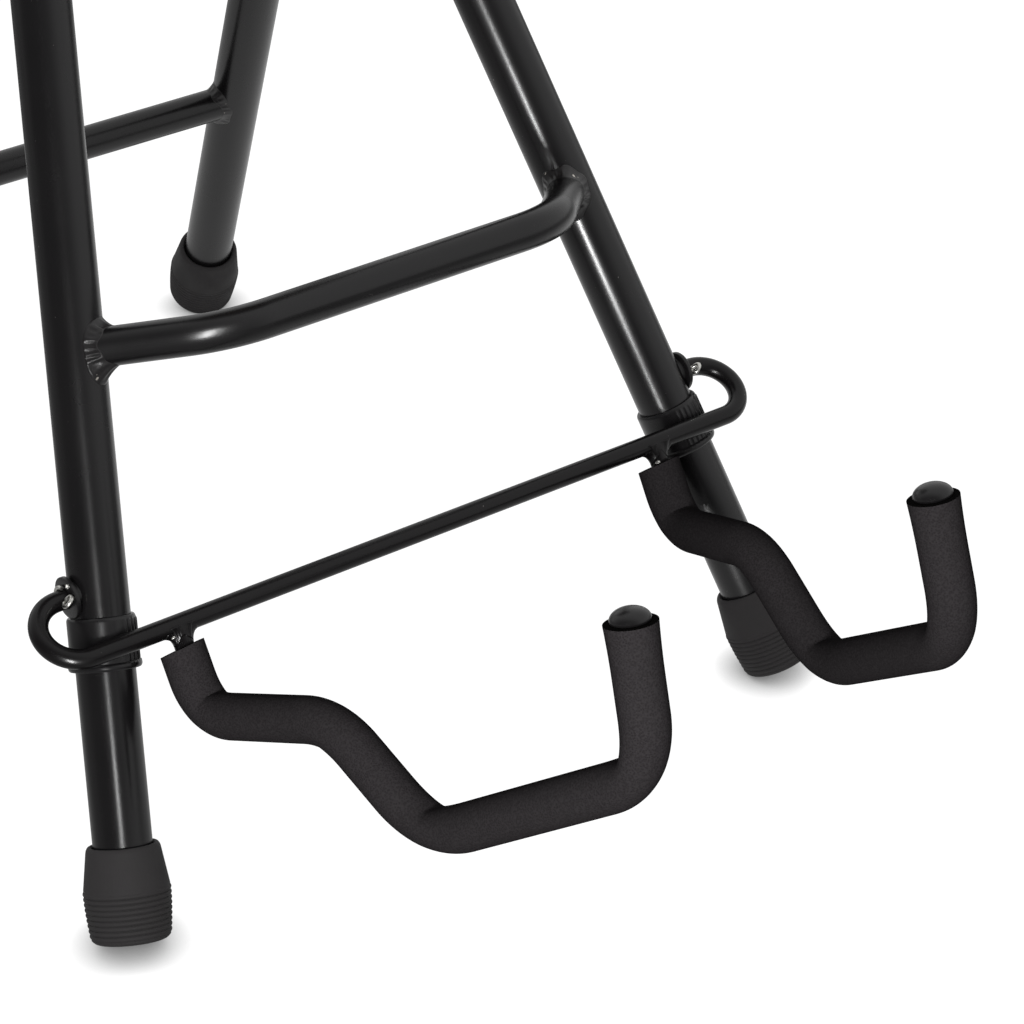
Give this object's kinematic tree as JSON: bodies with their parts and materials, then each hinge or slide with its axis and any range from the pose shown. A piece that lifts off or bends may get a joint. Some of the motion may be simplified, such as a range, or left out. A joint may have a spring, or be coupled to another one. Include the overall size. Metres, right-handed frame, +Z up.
{
  "type": "folding guitar stool with cradle",
  "caption": "Folding A-frame stool in black steel tube with rubber feet, a bowed footrest, a padded round seat and a swing-out foam-covered wire cradle that holds a guitar upright.",
  "frame": {"origin": "on the floor, under the middle of the whole outline", "axes": "+Z up; -Y to the front, where the sitter faces and the cradle reaches out; +X to the right seen from the front; left in a node's name means -X"},
  "size_m": [0.4294, 0.7924, 0.6423],
  "materials": {
    "black_steel": "gloss",
    "black_rubber": "matte",
    "black_plastic": "satin",
    "zinc": "satin",
    "black_foam": "matte",
    "plywood": "satin",
    "black_vinyl": "satin"
  },
  "bodies": {
    "front_frame": {"front_left_leg": "black_steel", "front_right_leg": "black_steel", "footrest_rung": "black_steel", "seat_ring": "black_steel", "left_hinge_lug": "black_steel", "right_hinge_lug": "black_steel", "front_left_foot": "black_rubber", "front_right_foot": "black_rubber", "left_collar": "black_plastic", "right_collar": "black_plastic", "left_pivot_washer": "black_plastic", "right_pivot_washer": "black_plastic", "hinge_bolts": "zinc", "hinge_nuts": "zinc", "hinge_spacers": "black_plastic"},
    "rear_frame": {"rear_left_leg": "black_steel", "rear_right_leg": "black_steel", "rear_rung": "black_steel", "rear_left_foot": "black_rubber", "rear_right_foot": "black_rubber", "left_leg_plug": "black_plastic", "right_leg_plug": "black_plastic"},
    "cradle": {"cradle_yoke": "black_steel", "left_arm_rod": "black_steel", "right_arm_rod": "black_steel", "left_foam_sleeve": "black_foam", "right_foam_sleeve": "black_foam", "left_arm_cap": "black_plastic", "right_arm_cap": "black_plastic", "cotter_pins": "zinc"},
    "seat": {"left_seat_block": "black_plastic", "right_seat_block": "black_plastic", "seat_buffers": "black_rubber", "seat_screws": "zinc", "seat_board": "plywood", "seat_cushion": "black_vinyl", "seat_piping": "black_vinyl"}
  },
  "joints": [
    {"name": "cradle_fold", "type": "hinge", "parent": "front_frame", "child": "cradle", "pos_m": [0, -0.07957, 0.153], "axis": [-1, 0, 0], "range_deg": [0, 90]},
    {"name": "rear_frame_fold", "type": "hinge", "parent": "front_frame", "child": "rear_frame", "pos_m": [0, 0.12653, 0.51452], "axis": [-1, 0, 0], "range_deg": [0, 49]},
    {"name": "seat_lift", "type": "hinge", "parent": "front_frame", "child": "seat", "pos_m": [0, 0.19747, 0.566], "axis": [-1, 0, 0], "range_deg": [0, 80]}
  ]
}
